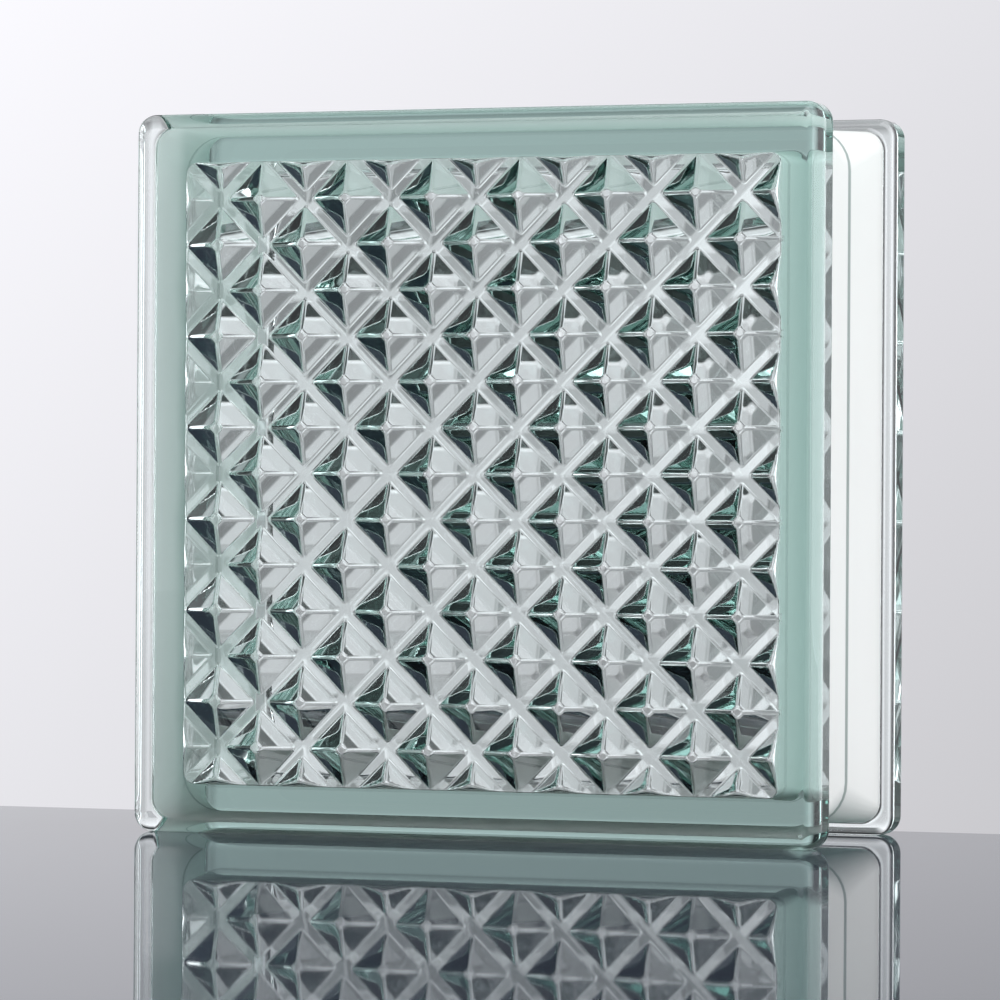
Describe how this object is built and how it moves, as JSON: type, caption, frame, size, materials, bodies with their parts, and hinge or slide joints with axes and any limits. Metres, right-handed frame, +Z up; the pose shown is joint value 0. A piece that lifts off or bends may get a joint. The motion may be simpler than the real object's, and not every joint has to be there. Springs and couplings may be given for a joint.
{
  "type": "glass block",
  "caption": "Square hollow glass block of two pressed halves fused at a seam, with a diamond lattice inside both faces and a mortar channel between its rims.",
  "frame": {"origin": "under the middle of the block, on the plane that its two rims stand on", "axes": "+Z up, X across the width, +Y from the front face to the back face"},
  "size_m": [0.19, 0.08, 0.19],
  "materials": {
    "clear_glass": "gloss"
  },
  "bodies": {
    "root": {"glass_block": "clear_glass"}
  },
  "joints": []
}
